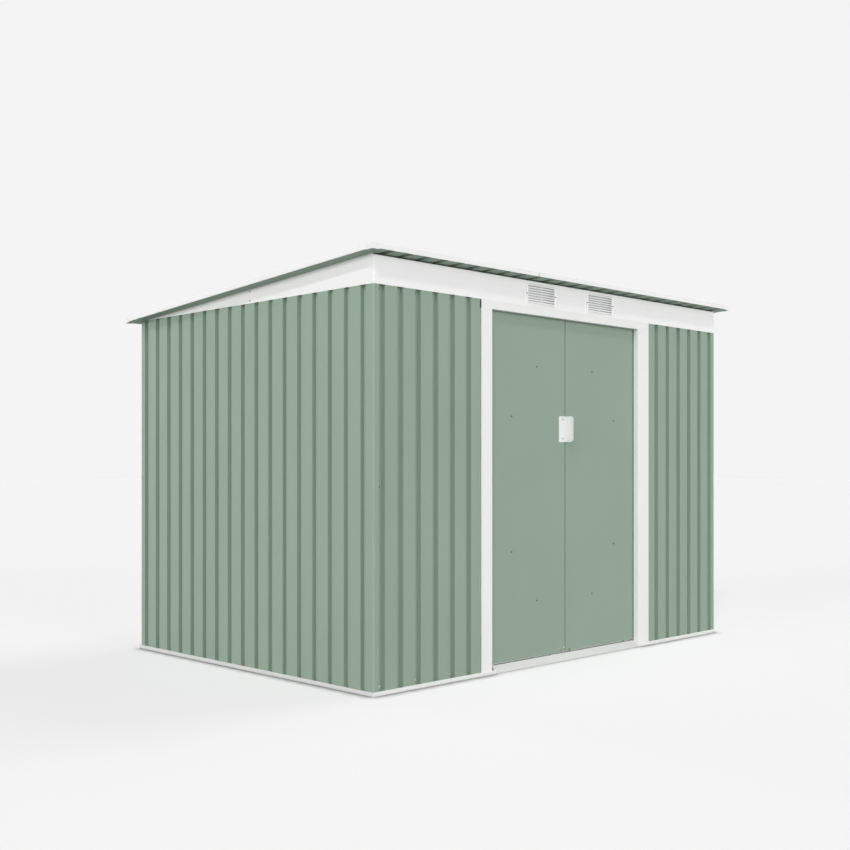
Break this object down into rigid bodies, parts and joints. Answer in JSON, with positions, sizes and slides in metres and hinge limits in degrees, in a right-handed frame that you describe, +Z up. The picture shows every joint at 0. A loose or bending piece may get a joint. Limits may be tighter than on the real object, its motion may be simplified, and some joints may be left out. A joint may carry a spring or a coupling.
{
  "type": "metal storage shed",
  "caption": "Small garden shed of ribbed metal sheet on a folded base rail, with a single-slope ribbed roof, louvred fascia vents and sliding doors on the high side.",
  "frame": {"origin": "on the ground under the middle of the shed", "axes": "+X along the front to the right as seen from outside, +Y from the door side to the back, +Z up"},
  "size_m": [2.611, 1.825, 1.7705],
  "materials": {
    "green_sheet": "satin sage green coil coating",
    "roof_green": "satin sage green coil coating",
    "white_trim": "satin white coating",
    "white_plastic": "moulded white plastic, slight gloss",
    "frame_steel": "galvanised, dull",
    "nylon": "matt natural nylon"
  },
  "bodies": {
    "shed": {"back_top_rail": "frame_steel", "back_wall_a": "green_sheet", "back_wall_b": "green_sheet", "back_wall_c": "green_sheet", "back_wall_d": "green_sheet", "base_rail_back": "white_trim", "base_rail_front": "white_trim", "base_rail_left": "white_trim", "base_rail_right": "white_trim", "door_header": "white_trim", "door_sill": "white_trim", "door_tracks": "frame_steel", "fascia_vents": "white_plastic", "front_fascia": "white_trim", "front_top_rail": "frame_steel", "front_wall_left": "green_sheet", "front_wall_right": "green_sheet", "left_door_post": "white_trim", "left_fascia": "white_trim", "left_wall_a": "green_sheet", "left_wall_b": "green_sheet", "left_wall_c": "green_sheet", "right_door_post": "white_trim", "right_fascia": "white_trim", "right_wall_a": "green_sheet", "right_wall_b": "green_sheet", "right_wall_c": "green_sheet", "roof_beam": "frame_steel", "roof_corner_caps": "white_plastic", "roof_sheet_a": "roof_green", "roof_sheet_b": "roof_green", "roof_sheet_c": "roof_green", "roof_sheet_d": "roof_green", "roof_trim_back": "white_trim", "roof_trim_front": "white_trim", "roof_trim_sides": "white_trim", "side_top_rails": "frame_steel", "wall_braces": "frame_steel"},
    "left_door": {"left_door": "green_sheet", "left_door_fittings": "frame_steel", "left_door_handle": "white_plastic", "left_door_runners": "nylon"},
    "right_door": {"right_door": "green_sheet", "right_door_fittings": "frame_steel", "right_door_handle": "white_plastic", "right_door_runners": "nylon"}
  },
  "joints": [
    {"name": "left_door_slide", "type": "slide", "parent": "shed", "child": "left_door", "axis": [-1, 0, 0], "range_m": [0, 0.49]},
    {"name": "right_door_slide", "type": "slide", "parent": "shed", "child": "right_door", "axis": [1, 0, 0], "range_m": [0, 0.49]}
  ]
}
